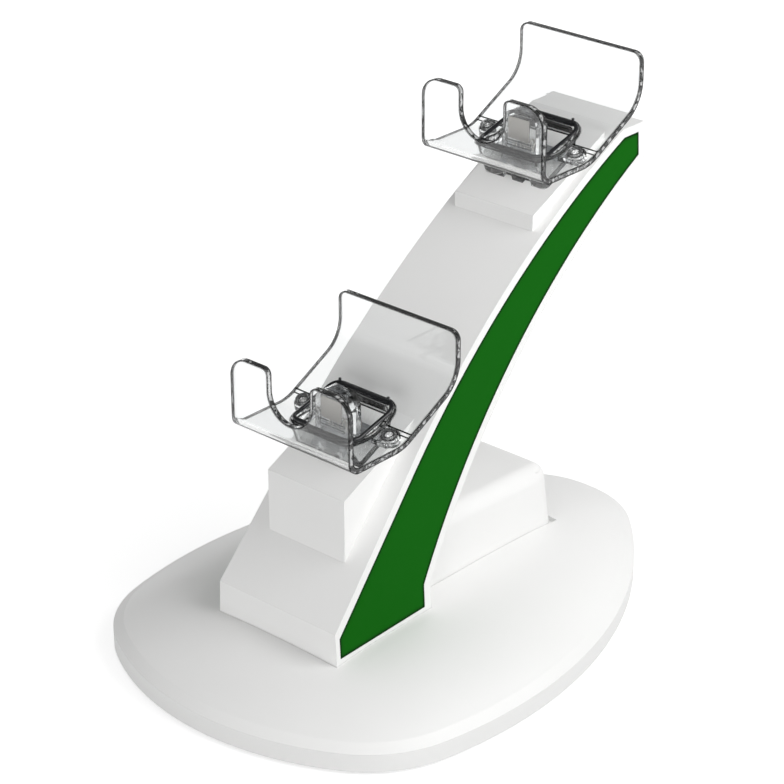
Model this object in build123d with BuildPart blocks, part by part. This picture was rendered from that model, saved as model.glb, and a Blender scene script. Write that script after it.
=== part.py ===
from build123d import *
import os
from math import cos, radians, sin, sqrt, tan

# Two-tier charging dock for game controllers: a curved arm on an egg-shaped
# domed base, with two clear cradles that each hold a controller on a plug.
# Millimetres. X is the width, -Y the front, +Z up. The origin lies on the
# table under the middle of the base.

os.makedirs("parts", exist_ok=True)

# Base outline, four arcs in tangent order from the front edge to the back
base_front_radius = 117.0
base_front_angle = 30.4
base_corner_radius = 49.7
base_corner_angle = 77.4
base_side_radius = 189.0
base_side_angle = 135.7

# Base section
feet_proud = 1.0
rim_height = 7.5
rim_chamfer_drop = 2.8
rim_chamfer_inset = 4.1
dome_rise = 11.0
dome_power = 4.2
dome_centre_y = 0.0
cavity_top_share = 0.78
base_wall = 2.4
cover_thickness = 2.5
cover_clearance = 0.2
socket_depth = 3.8
socket_clearance = 0.2

# Arm, seen from the side; heights are above the foot of the arm
foot_setback = 44.8
foot_length = 53.3
foot_front_height = 14.9
ramp_angle = 49.0
ramp_straight_length = 42.9
arm_height = 162.7
arm_front_radius = 387.0
arm_top_length = 13.4
arm_heel_height = 14.1
arm_back_angle = 61.7
arm_back_radius = 324.2
arm_foot_half_width = 30.9
arm_top_half_width = 22.9
arm_wall = 2.4
arm_side_wall = 3.6
cover_gap = 0.15

# Coloured side panels let into the arm
panel_border = 3.5
panel_face_border = 2.3
panel_foot_border = 3.6
panel_foot_rise = 1.6
panel_thickness = 1.6
panel_gap = 0.12

# Pedestals on the arm, one under each cradle
pedestal_setback = 16.9
pedestal_rises = (25.9, 6.4)
pedestal_half_width = 19.6
pedestal_slope = 25.5
pedestal_length = 44.0
pedestal_wall = 2.2
pedestal_depth = 30.0
tier_step_y = 107.0
wire_hole_radius = 3.5

# Cradle, placed from the top front edge of its pedestal
cradle_half_width = 30.0
cradle_thickness = 2.3
cradle_overhang = 8.0
cradle_floor_height = 16.6
cradle_front_bend = 5.5
cradle_floor_bend_y = 21.6
cradle_floor_bend = 20.0
cradle_slope = 28.0
cradle_back_y = 53.3
cradle_back_bend = 16.0
cradle_back_top = 54.4
cradle_back_corner = 4.0
cradle_front_top = 47.2
cradle_front_corner = 8.0
notch_radius = 10.8
notch_bottom = 27.6
notch_lip = 2.8

# Opening in the cradle floor, its raised rim, and the tub that carries it
opening_half_width = 14.4
opening_front = 10.0
opening_back = 31.4
opening_corner = 3.0
rim_width = 3.0
rim_proud = 1.0
tub_half_width = 16.0
tub_wall = 1.6
tub_floor = 1.6
tub_front_top = 8.4
tub_front_foot = 12.3
tub_back_top = 33.0
tub_back_foot = 31.0
tub_corner = 2.4
tub_arch_radius = 2.2
tub_arch_height = 4.0
tub_arch_x = (-3.0, 6.5)
tub_ear_x = 22.0
tub_ear_radius = 4.0
tub_ear_thickness = 2.2
tub_ear_angle = 19.0
tub_boss_length = 3.2
tub_boss_radius = 2.6
tub_screw_x = 11.4
tub_screw_y = 25.5

# Plug carrier that stands in the tub, its metal plate and its board
board_thickness = 1.2
board_half_width = 8.2
board_front = 14.2
board_back = 29.0
carrier_half_width = 8.4
carrier_front = 15.8
carrier_thickness = 6.0
carrier_top = 33.4
carrier_corner = 6.0
carrier_peg_radius = 1.0
carrier_peg_x = 5.5
carrier_peg_gap = 0.1
plate_half_width = 5.1
plate_bottom = 22.0
plate_height = 8.6
plate_thickness = 1.0
plate_sunk = 0.6
plate_gap = 0.05
rib_half_width = 6.5
rib_height = 0.9
rib_drops = (1.4, 3.4)

# Electronics housing behind the arm
housing_half_width = 20.4
housing_length = 89.0
housing_height = 32.6
housing_back_lean = 5.0
housing_top_fall = 3.0
housing_round = 6.5
housing_wall = 2.2
housing_gap = 0.1
main_board_height = 4.5
main_board_half_width = 15.5
main_board_front = 12.0
main_board_inlet_overlap = 2.5
main_board_thickness = 1.6
main_board_tongue_half_width = 10.5
board_post_radius = 2.8
inlet_half_width = 4.5
inlet_height = 11.0
inlet_length = 14.0
inlet_inset = 5.5
inlet_nose_length = 3.6
inlet_bore_radius = 3.2
inlet_bore_depth = 9.5
inlet_pin_radius = 1.0
inlet_nose_radius = 4.2
inlet_gap = 0.1

# Feet, ballast and screws; angles are turned from the front towards the side
foot_pad_radius = 8.0
foot_pad_recess = 1.0
foot_pad_inset = 18.0
foot_pad_angles = (80.0, 130.0)
cover_screw_inset = 16.0
corner_screw_angle = 52.0
side_screw_angles = (93.0, 122.0)
foot_screw_x = 23.6
foot_screw_inset = 9.0
housing_screw_x = 15.6
housing_screw_inset = 11.0
board_screw_x = 11.0
board_screw_inset = 5.5
arm_screw_inset = 8.6
arm_screw_shares = (0.13, 0.44, 0.93)
wire_slot_height = 7.0
wire_slot_radius = 4.0
ballast_length = 88.0
ballast_half_width = 38.0
ballast_thickness = 4.0
ballast_pin_radius = 3.0
ballast_pin_step = 60.0
ballast_pin_gap = 0.2
screw_radius = 1.45
screw_fit = 0.05
screw_head_radius = 2.9
screw_head_height = 1.9
screw_sides = 12
screw_hole_radius = 1.7
screw_length = 8.0
board_screw_length = 6.0
boss_radius = 3.6
arm_boss_reach = 48.0
foot_boss_height = 16.0
screw_spot_depth = 0.4
arm_screw_sink = 1.2

# Sizes that follow
r1, r2, r3 = base_front_radius, base_corner_radius, base_side_radius


def out_from(centre, distance, angle):
    """Point at a distance from a centre, the angle being turned from -Y to +X."""
    return (centre[0] + distance * sin(radians(angle)), centre[1] - distance * cos(radians(angle)))


front_centre = (0.0, r1)
corner_centre = out_from(front_centre, r1 - r2, base_front_angle)
side_centre = out_from(corner_centre, r2 - r3, base_corner_angle)
side_end = out_from(side_centre, r3, base_side_angle)
base_back_radius = side_end[0] / sin(radians(base_side_angle))
back_centre = (0.0, side_end[1] + base_back_radius * cos(radians(base_side_angle)))
base_length = back_centre[1] + base_back_radius

rim_top = feet_proud + rim_height
chamfer_top = rim_top + rim_chamfer_drop
dome_top = chamfer_top + dome_rise
foot_z = dome_top - socket_depth
foot_y = foot_setback - base_length / 2
inlet_end = housing_length - inlet_inset
main_board_back = inlet_end - inlet_length + main_board_inlet_overlap
cover_top = feet_proud + cover_thickness
socket_floor_z = foot_z - base_wall


def below(point, angle, distance):
    """Point square to a rising line, on the side behind and below it."""
    return (point[0] + distance * sin(radians(angle)), point[1] - distance * cos(radians(angle)))


def on_curve(centre, radius, y):
    """Point of an arc's upper side at the given distance along the dock."""
    return (y, centre[1] + sqrt(radius**2 - (y - centre[0]) ** 2))


bend_start = (ramp_straight_length, foot_front_height + ramp_straight_length * tan(radians(ramp_angle)))
front_curve = below(bend_start, ramp_angle, arm_front_radius)
back_curve = below((foot_length, arm_heel_height), arm_back_angle, arm_back_radius)
brow_y = front_curve[0] - sqrt(arm_front_radius**2 - (arm_height - front_curve[1]) ** 2)
arm_reach = brow_y + arm_top_length


def ramp_height(y):
    """Height of the arm's front face above its foot, at a distance behind the foot's front."""
    if y < ramp_straight_length:
        return foot_front_height + y * tan(radians(ramp_angle))
    return on_curve(front_curve, arm_front_radius, y)[1]


arm_side = Plane(origin=(0, foot_y, foot_z), x_dir=(0, 1, 0), z_dir=(1, 0, 0))
tiers = {}
for number, tier in enumerate(("lower", "upper")):
    setback = pedestal_setback + number * tier_step_y
    tiers[tier] = (foot_y + setback, foot_z + ramp_height(setback) + pedestal_rises[number])
housing_front_y = foot_y + foot_length


# Shapes that several pieces share


def base_face(height, inset=0.0, share=1.0):
    """Egg-shaped outline of the base, stepped in and shrunk about the dome's crown."""

    def arc(centre, radius, start, sweep):
        y = centre[1] - base_length / 2
        place = (centre[0] * share, dome_centre_y + (y - dome_centre_y) * share)
        return CenterArc(place, (radius - inset) * share, start - 90, sweep)

    with BuildSketch(Plane.XY.offset(height)) as outline:
        with BuildLine():
            arc(front_centre, r1, -base_front_angle, 2 * base_front_angle)
            corner = arc(corner_centre, r2, base_front_angle, base_corner_angle - base_front_angle)
            side = arc(side_centre, r3, base_corner_angle, base_side_angle - base_corner_angle)
            arc(back_centre, base_back_radius, base_side_angle, 360 - 2 * base_side_angle)
            mirror([corner, side], about=Plane.YZ)
        make_face()
    return outline.sketch


def base_body():
    """Rim wall, chamfer and dome as one solid."""
    shares = (1.0, 0.92, 0.8, 0.64, 0.46, 0.28)
    with BuildPart() as body:
        add(base_face(feet_proud))
        extrude(amount=rim_height)
        loft(sections=[base_face(rim_top), base_face(chamfer_top, rim_chamfer_inset)], ruled=True)
        domes = [
            base_face(dome_top - dome_rise * share**dome_power, rim_chamfer_inset, share)
            for share in shares
        ]
        loft(sections=domes)
    return body.part


def arm_profile(front=0.0, back=0.0, top=0.0, tip=0.0, foot=0.0, face=0.0, foot_rise=0.0):
    """Side view of the arm with each edge stepped in by its own amount."""
    front_r, back_r = arm_front_radius - front, arm_back_radius + back
    crown, end_y = arm_height - top, arm_reach - tip
    bend = below(bend_start, ramp_angle, front)
    toe = (face, bend[1] - (bend[0] - face) * tan(radians(ramp_angle)))
    brow = (front_curve[0] - sqrt(front_r**2 - (crown - front_curve[1]) ** 2), crown)
    tail = on_curve(back_curve, back_r, end_y)
    heel = on_curve(back_curve, back_r, foot_length - back)
    with BuildSketch(arm_side) as profile:
        with BuildLine():
            Line((face, foot), toe)
            Line(toe, bend)
            ThreePointArc(bend, on_curve(front_curve, front_r, (bend[0] + brow[0]) / 2), brow)
            Line(brow, (end_y, crown))
            Line((end_y, crown), tail)
            ThreePointArc(tail, on_curve(back_curve, back_r, (end_y + heel[0]) / 2), heel)
            Line(heel, (foot_length - back, foot + foot_rise))
            Line((foot_length - back, foot + foot_rise), (face, foot))
        make_face()
    return profile.sketch


def arm_half_width(height):
    """Half the arm's width at a height above its foot."""
    return arm_foot_half_width - (arm_foot_half_width - arm_top_half_width) * height / arm_height


def arm_slab(inset):
    """Tapered slab between the two side faces of the arm, stepped in from both."""
    low, high = -arm_height / 4, arm_height * 5 / 4
    low_x, high_x = arm_half_width(low) - inset, arm_half_width(high) - inset
    with BuildPart() as slab:
        with BuildSketch(Plane.XZ.offset(-foot_y + arm_reach)):
            with BuildLine():
                Polyline(
                    (-low_x, foot_z + low),
                    (low_x, foot_z + low),
                    (high_x, foot_z + high),
                    (-high_x, foot_z + high),
                    close=True,
                )
            make_face()
        extrude(amount=-3 * arm_reach)
    return slab.part


def arm_body(profile, inset):
    """Solid of a side view of the arm between its stepped-in side faces."""
    with BuildPart() as body:
        extrude(profile, amount=2 * arm_foot_half_width, both=True)
        add(arm_slab(inset), mode=Mode.INTERSECT)
    return body.part


def panel_pair(gap, proud):
    """Both side panels, smaller by a gap all round and standing proud."""
    edge = panel_border + gap
    profile = arm_profile(
        front=edge,
        back=edge,
        top=edge,
        tip=edge,
        foot=panel_foot_border + gap,
        face=panel_face_border + gap,
        foot_rise=panel_foot_rise,
    )
    with BuildPart() as pair:
        add(arm_body(profile, -proud))
        add(arm_slab(panel_thickness), mode=Mode.SUBTRACT)
    return pair.part


def pedestal(wall):
    """Both pedestal blocks, stepped in by a wall on their open sides."""
    fall = tan(radians(pedestal_slope))
    run = pedestal_length
    top = -wall / cos(radians(pedestal_slope))
    with BuildPart() as blocks:
        for tier_y, tier_z in tiers.values():
            side = Plane(origin=(0, tier_y, tier_z), x_dir=(0, 1, 0), z_dir=(1, 0, 0))
            with BuildSketch(side):
                with BuildLine():
                    Polyline(
                        (wall, top + wall * fall),
                        (run, top + run * fall),
                        (run, top + run * fall - pedestal_depth / 2),
                        (wall, -pedestal_depth),
                        close=True,
                    )
                make_face()
            extrude(amount=pedestal_half_width - wall, both=True)
    return blocks.part


def seat_plane(tier_y, tier_z, lift=0.0):
    """Plane parallel to a pedestal's sloping top, starting above its front edge."""
    tilt = radians(pedestal_slope)
    start = Plane(origin=(0, tier_y, tier_z), x_dir=(1, 0, 0), z_dir=(0, -sin(tilt), cos(tilt)))
    return start.offset(lift)


def up_slope(y, lift):
    """Distance up a plane lifted off a pedestal's top that reaches a given y."""
    tilt = radians(pedestal_slope)
    return (y + lift * sin(tilt)) / cos(tilt)


def floor_line(above, start_y, end_y):
    """Cradle floor and its upward bend, as a line at a height above the underside."""
    bend = radians(cradle_slope)
    corner = (cradle_floor_bend_y - above * tan(bend / 2), cradle_floor_height + above)
    end = (end_y, corner[1] + (end_y - corner[0]) * tan(bend))
    return FilletPolyline((start_y, corner[1]), corner, end, radius=cradle_floor_bend - above)


def cradle_profile(tier_side, thickness):
    """Side view of the bent cradle plate with the given thickness."""
    bend = radians(cradle_slope)
    slope_top = cradle_floor_height + (cradle_back_y - cradle_floor_bend_y) * tan(bend)
    with BuildSketch(tier_side) as profile:
        with BuildLine():
            FilletPolyline(
                (-cradle_overhang, cradle_front_top),
                (-cradle_overhang, cradle_floor_height),
                (cradle_floor_bend_y, cradle_floor_height),
                (cradle_back_y, slope_top),
                (cradle_back_y, cradle_back_top),
                radius=[cradle_front_bend, cradle_floor_bend, cradle_back_bend],
            )
            offset(amount=thickness, side=Side.LEFT)
        make_face()
    return profile.sketch


def housing_block(inset, front):
    """Rounded housing stepped in on the top, the sides and the back."""
    back_y = foot_length + housing_length - inset
    high = housing_height - inset
    with BuildPart() as block:
        with BuildSketch(arm_side):
            with BuildLine():
                Polyline(
                    (foot_length + front, 0),
                    (back_y, 0),
                    (back_y - housing_back_lean, high - housing_top_fall),
                    (foot_length + front, high),
                    close=True,
                )
            make_face()
        extrude(amount=housing_half_width - inset, both=True)
        rounded = block.edges().filter_by(
            lambda e: e.center().Y > foot_y + foot_length + front + 1 and e.center().Z > foot_z + 1
        )
        fillet(rounded, housing_round - inset)
    return block.part


def bend_plane(tier_y, tier_z, x, above):
    """Plane on the bend of a cradle floor, at a height above its underside."""
    start_y = cradle_floor_bend_y - cradle_floor_bend * tan(radians(cradle_slope / 2))
    tilt = radians(tub_ear_angle)
    reach = cradle_floor_bend - above
    origin = (
        x,
        tier_y + start_y + reach * sin(tilt),
        tier_z + cradle_floor_height + cradle_floor_bend - reach * cos(tilt),
    )
    return Plane(origin=origin, x_dir=(1, 0, 0), z_dir=(0, -sin(tilt), cos(tilt)))


def arm_screw_plane(x, y, depth):
    """Plane inside the back of the arm, facing into it."""
    point = on_curve(back_curve, arm_back_radius, y)
    dy, dz = point[0] - back_curve[0], point[1] - back_curve[1]
    grow = 1 + depth / arm_back_radius
    origin = (x, foot_y + back_curve[0] + dy * grow, foot_z + back_curve[1] + dz * grow)
    return Plane(origin=origin, x_dir=(1, 0, 0), z_dir=(0, dy, dz))


def screw(length):
    """Plain screw with its head under the table plane and its thread above."""
    with BuildPart() as one:
        with BuildSketch():
            RegularPolygon(screw_head_radius, screw_sides)
        extrude(amount=-screw_head_height)
        with BuildSketch():
            RegularPolygon(screw_radius, screw_sides)
        extrude(amount=length)
    return one.part


def screws(places, length=screw_length):
    """One screw at each of the places."""
    with BuildPart() as group:
        with Locations(*places):
            add(screw(length))
    return group.part


def save(piece, name):
    """Label a piece and write it out."""
    piece.label = name
    export_step(piece, f"parts/{name}.step")


def both_sides(places):
    """The same places on both sides of the middle."""
    return [(side * x, y) for side in (-1, 1) for x, y in places]


def in_base(centre, radius, inset, angle):
    """Place at a distance inside the base outline, on the normal at an angle of one of its arcs."""
    x, y = out_from(centre, radius - inset, angle)
    return (x, y - base_length / 2)


# Places of the screws and feet
cover_screw_places = both_sides(
    [in_base(corner_centre, r2, cover_screw_inset, corner_screw_angle)]
    + [in_base(side_centre, r3, cover_screw_inset, angle) for angle in side_screw_angles]
)
foot_pad_places = both_sides([in_base(side_centre, r3, foot_pad_inset, angle) for angle in foot_pad_angles])
foot_screw_places = both_sides(
    [(foot_screw_x, foot_y + foot_screw_inset), (foot_screw_x, foot_y + foot_length - foot_screw_inset)]
)
housing_screw_places = both_sides(
    [(housing_screw_x, housing_front_y + housing_length - housing_screw_inset)]
)
board_screw_places = both_sides(
    [
        (board_screw_x, housing_front_y + main_board_front + board_screw_inset),
        (board_screw_x, housing_front_y + main_board_back - board_screw_inset),
    ]
)
arm_screw_ys = [foot_length + share * (arm_reach - foot_length) for share in arm_screw_shares]
arm_screw_places = both_sides(
    [
        (arm_half_width(on_curve(back_curve, arm_back_radius, y)[1]) - arm_screw_inset, y)
        for y in arm_screw_ys
    ]
)
ballast_pin_places = [(0, foot_y + foot_length / 2 + s * ballast_pin_step / 2) for s in (-1, 1)]

# Base top shell
with BuildPart() as base_cavity:
    add(base_face(feet_proud, base_wall))
    extrude(amount=rim_height - base_wall / 2)
    low_cavity = base_face(rim_top - base_wall / 2, base_wall)
    high_cavity = base_face(socket_floor_z, base_wall + rim_chamfer_inset, cavity_top_share)
    loft(sections=[low_cavity, high_cavity], ruled=True)
    with BuildSketch(Plane.XY.offset(cover_top)):
        with Locations(*cover_screw_places):
            Circle(boss_radius)
    extrude(amount=dome_top, mode=Mode.SUBTRACT)

with BuildPart() as base_top_shell:
    add(base_body())
    add(base_cavity.part, mode=Mode.SUBTRACT)
    with BuildSketch(Plane.XY.offset(foot_z)):
        with Locations((0, foot_y + foot_length / 2)):
            Rectangle(
                2 * (arm_foot_half_width + socket_clearance),
                foot_length + 2 * socket_clearance,
            )
        with Locations((0, housing_front_y + housing_length / 2)):
            Rectangle(
                2 * (housing_half_width + socket_clearance), housing_length + 2 * socket_clearance
            )
    extrude(amount=dome_rise, mode=Mode.SUBTRACT)
    with Locations(*[(x, y, cover_top) for x, y in cover_screw_places]):
        Cylinder(
            screw_radius + screw_fit,
            screw_length + screw_fit,
            align=(Align.CENTER, Align.CENTER, Align.MIN),
            mode=Mode.SUBTRACT,
        )
    with Locations(*[(x, y, foot_z) for x, y in board_screw_places]):
        Cylinder(board_post_radius, main_board_height, align=(Align.CENTER, Align.CENTER, Align.MIN))
        Hole(screw_radius + screw_fit, depth=base_wall)
    with Locations(*[(x, y, foot_z + main_board_height) for x, y in board_screw_places]):
        Hole(screw_radius + screw_fit, depth=main_board_height)
    with Locations(*[(x, y, foot_z) for x, y in foot_screw_places + housing_screw_places]):
        Hole(screw_hole_radius, depth=base_wall)
save(base_top_shell.part, "base_top_shell")

# Base bottom cover
with BuildPart() as base_bottom_cover:
    add(base_face(feet_proud, base_wall + cover_clearance))
    extrude(amount=cover_thickness)
    with BuildSketch(Plane.XY.offset(feet_proud)):
        with Locations(*foot_pad_places):
            Circle(foot_pad_radius)
    extrude(amount=foot_pad_recess, mode=Mode.SUBTRACT)
    with BuildSketch(Plane.XY.offset(cover_top)):
        with Locations(*ballast_pin_places):
            Circle(ballast_pin_radius)
    extrude(amount=ballast_thickness - 0.5)
    with Locations(*[Location((x, y, feet_proud), (180, 0, 0)) for x, y in cover_screw_places]):
        CounterBoreHole(screw_hole_radius, screw_head_radius + 0.3, screw_head_height * 0.7, cover_thickness)
save(base_bottom_cover.part, "base_bottom_cover")

# Ballast plate
with BuildPart() as ballast_plate:
    middle_y = sum(y for _, y in ballast_pin_places) / len(ballast_pin_places)
    with BuildSketch(Plane.XY.offset(cover_top)):
        with Locations((0, middle_y)):
            RectangleRounded(2 * ballast_half_width, ballast_length, 6)
        with Locations(*ballast_pin_places):
            Circle(ballast_pin_radius + ballast_pin_gap, mode=Mode.SUBTRACT)
    extrude(amount=ballast_thickness)
    chamfer(ballast_plate.faces().sort_by(Axis.Z)[-1].outer_wire().edges(), 0.6)
save(ballast_plate.part, "ballast_plate")

# Rubber feet
with BuildPart() as rubber_feet:
    with BuildSketch():
        with Locations(*foot_pad_places):
            Circle(foot_pad_radius - 0.1)
    extrude(amount=feet_proud + foot_pad_recess)
    chamfer(rubber_feet.faces().filter_by(Plane.XY).group_by(Axis.Z)[0].edges(), 0.5)
save(rubber_feet.part, "rubber_feet")

# Screws of the base
cover_seat = feet_proud + screw_head_height * 0.7
save(screws([(x, y, cover_seat) for x, y in cover_screw_places]), "base_screws")
save(screws([(x, y, socket_floor_z) for x, y in foot_screw_places + housing_screw_places]), "body_screws")

# Arm front shell
with BuildPart() as arm_bosses:
    for x, y in arm_screw_places:
        with Locations(arm_screw_plane(x, y, arm_wall)):
            Cylinder(boss_radius, arm_boss_reach, align=(Align.CENTER, Align.CENTER, Align.MIN))
    with Locations(*[(x, y, foot_z) for x, y in foot_screw_places]):
        Cylinder(boss_radius, foot_boss_height, align=(Align.CENTER, Align.CENTER, Align.MIN))
    inner = arm_wall / 2
    boss_limits = arm_profile(front=inner, back=arm_wall, top=inner, tip=inner, face=inner)
    add(arm_body(boss_limits, inner), mode=Mode.INTERSECT)

with BuildPart() as arm_front_shell:
    add(arm_body(arm_profile(), 0.0))
    add(pedestal(0.0))
    open_back = arm_profile(
        front=arm_wall,
        back=-3 * arm_wall,
        top=arm_wall,
        tip=arm_wall,
        foot=-socket_depth,
        face=arm_wall,
    )
    add(arm_body(open_back, arm_side_wall), mode=Mode.SUBTRACT)
    add(pedestal(pedestal_wall), mode=Mode.SUBTRACT)
    add(arm_bosses.part)
    for tier_y, tier_z in tiers.values():
        with BuildSketch(seat_plane(tier_y, tier_z)):
            with Locations((0, up_slope((tub_front_top + tub_back_top) / 2, 0))):
                Rectangle(2 * (tub_half_width + cover_gap), up_slope(tub_back_top - tub_front_top, 0))
        extrude(amount=4, mode=Mode.SUBTRACT)
        with Locations(seat_plane(tier_y, tier_z)):
            reach = up_slope(tub_screw_y, 0)
            with Locations((-tub_screw_x, reach, 0), (tub_screw_x, reach, 0)):
                Cylinder(boss_radius, screw_length, align=(Align.CENTER, Align.CENTER, Align.MAX))
                Hole(screw_radius + screw_fit, depth=screw_length)
            with Locations((0, reach, 0)):
                Hole(wire_hole_radius, depth=pedestal_wall + 1)
    add(panel_pair(0.0, 1.0), mode=Mode.SUBTRACT)
    for x, y in arm_screw_places:
        with Locations(arm_screw_plane(x, y, arm_wall)):
            Cylinder(
                screw_radius + screw_fit,
                screw_length,
                align=(Align.CENTER, Align.CENTER, Align.MIN),
                mode=Mode.SUBTRACT,
            )
    with Locations(*[(x, y, foot_z) for x, y in foot_screw_places]):
        Cylinder(
            screw_radius + screw_fit,
            screw_length,
            align=(Align.CENTER, Align.CENTER, Align.MIN),
            mode=Mode.SUBTRACT,
        )
save(arm_front_shell.part, "arm_front_shell")

# Arm rear cover
with BuildPart() as arm_rear_cover:
    add(arm_body(arm_profile(tip=arm_wall + cover_gap), arm_side_wall + cover_gap))
    inside = arm_profile(
        front=-arm_wall, back=arm_wall, top=-arm_wall, tip=-arm_wall, foot=-arm_wall, face=-arm_wall
    )
    add(arm_body(inside, -arm_wall), mode=Mode.SUBTRACT)
    for x, y in arm_screw_places:
        with Locations(arm_screw_plane(x, y, arm_screw_sink)):
            Cylinder(
                screw_head_radius + 0.3, 5, align=(Align.CENTER, Align.CENTER, Align.MAX), mode=Mode.SUBTRACT
            )
            Cylinder(
                screw_hole_radius, 5, align=(Align.CENTER, Align.CENTER, Align.MIN), mode=Mode.SUBTRACT
            )
    slot_origin = (0, housing_front_y, foot_z + wire_slot_height)
    with Locations(Plane(origin=slot_origin, x_dir=(1, 0, 0), z_dir=(0, 1, 0))):
        Cylinder(wire_slot_radius, 4 * arm_wall, mode=Mode.SUBTRACT)
save(arm_rear_cover.part, "arm_rear_cover")
save(screws([arm_screw_plane(x, y, arm_screw_sink) for x, y in arm_screw_places]), "arm_screws")

# Coloured side panels
for side_name, keep in (("left", Keep.BOTTOM), ("right", Keep.TOP)):
    with BuildPart() as side_panel:
        add(panel_pair(panel_gap, 0.0))
        split(bisect_by=Plane.YZ, keep=keep)
    save(side_panel.part, f"side_panel_{side_name}")

# Electronics housing
inlet_plane = Plane(origin=(0, housing_front_y, foot_z + inlet_height), x_dir=(-1, 0, 0), z_dir=(0, 1, 0))
with BuildPart() as rear_housing:
    add(housing_block(0.0, 0.0))
    add(housing_block(housing_wall, -8.0), mode=Mode.SUBTRACT)
    with Locations(*[(x, y, foot_z) for x, y in housing_screw_places]):
        Cylinder(boss_radius, housing_height - 5, align=(Align.CENTER, Align.CENTER, Align.MIN))
        Cylinder(
            screw_radius + screw_fit,
            screw_length,
            align=(Align.CENTER, Align.CENTER, Align.MIN),
            mode=Mode.SUBTRACT,
        )
    add(arm_body(arm_profile(back=-housing_gap), -10.0), mode=Mode.SUBTRACT)
    with Locations(inlet_plane.offset(housing_length)):
        Cylinder(inlet_nose_radius + inlet_gap, 20, mode=Mode.SUBTRACT)
save(rear_housing.part, "rear_housing")

# Main board
with BuildPart() as main_board:
    with BuildSketch(Plane.XY.offset(foot_z + main_board_height)):
        with Locations((0, housing_front_y + (main_board_front + main_board_back) / 2)):
            Rectangle(2 * main_board_half_width, main_board_back - main_board_front)
        with Locations((0, housing_front_y + (main_board_back + inlet_end) / 2)):
            Rectangle(2 * main_board_tongue_half_width, inlet_end - main_board_back)
        with Locations(*board_screw_places):
            Circle(screw_hole_radius, mode=Mode.SUBTRACT)
    extrude(amount=main_board_thickness)
save(main_board.part, "main_board")
board_top = foot_z + main_board_height + main_board_thickness
board_screws = [Location((x, y, board_top), (180, 0, 0)) for x, y in board_screw_places]
save(screws(board_screws, board_screw_length), "board_screws")

# Power inlet
with BuildPart() as power_inlet:
    with BuildSketch(inlet_plane.offset(inlet_end - inlet_length)):
        half_height = inlet_height - main_board_height - main_board_thickness
        Rectangle(2 * inlet_half_width, 2 * half_height)
    extrude(amount=inlet_length)
    fillet(power_inlet.edges().filter_by(Axis.Y), 0.8)
    with BuildSketch(inlet_plane.offset(inlet_end)):
        Circle(inlet_nose_radius)
    extrude(amount=inlet_nose_length)
    with BuildSketch(inlet_plane.offset(inlet_end + inlet_nose_length)):
        Circle(inlet_bore_radius)
    extrude(amount=-inlet_bore_depth, mode=Mode.SUBTRACT)
    with BuildSketch(inlet_plane.offset(inlet_end + inlet_nose_length - inlet_bore_depth)):
        Circle(inlet_pin_radius)
    extrude(amount=inlet_bore_depth - 1.5)
save(power_inlet.part, "power_inlet")

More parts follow.
